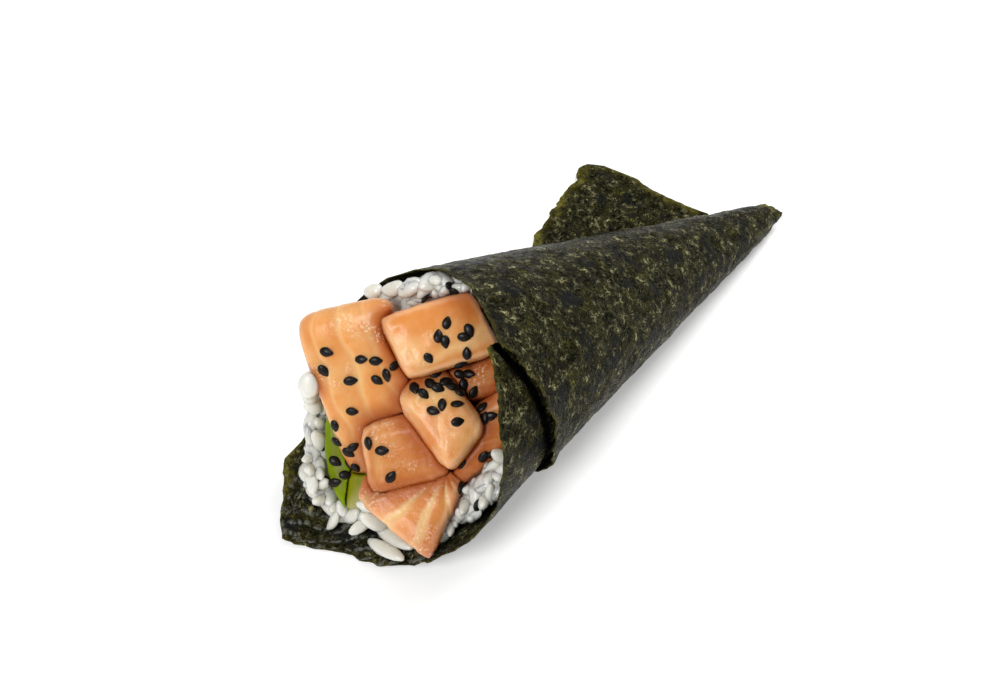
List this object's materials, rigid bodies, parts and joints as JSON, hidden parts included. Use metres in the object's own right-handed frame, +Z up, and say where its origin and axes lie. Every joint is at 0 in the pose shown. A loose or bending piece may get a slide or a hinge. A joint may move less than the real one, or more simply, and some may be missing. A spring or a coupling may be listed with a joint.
{
  "type": "salmon temaki hand roll",
  "caption": "Cone of seaweed rolled round rice, chunks of raw salmon and an avocado slice, lying on its side with the mouth open to the front.",
  "frame": {"origin": "middle of the bounding box, on the table it lies on", "axes": "+Z up; the roll lies along X, with its tip at +X and its mouth at -X; its free end lies on the table at +Y"},
  "size_m": [0.1706, 0.083, 0.057],
  "materials": {
    "nori": "dark dried seaweed, slightly glossy",
    "rice": "moist cooked rice",
    "salmon": "moist raw salmon",
    "salmon_deep": "moist raw salmon, darker cut",
    "avocado": "smooth avocado flesh",
    "avocado_pale": "moist pale avocado flesh"
  },
  "bodies": {
    "root": {"nori_wrap": "nori", "rice_bed": "rice", "salmon_slab": "salmon", "salmon_top_block": "salmon", "salmon_middle_chunk": "salmon", "salmon_lower_block": "salmon", "salmon_fan_slice": "salmon", "salmon_right_block": "salmon_deep", "salmon_right_piece": "salmon_deep", "avocado_slice": "avocado", "pale_slice": "avocado_pale"}
  },
  "joints": []
}
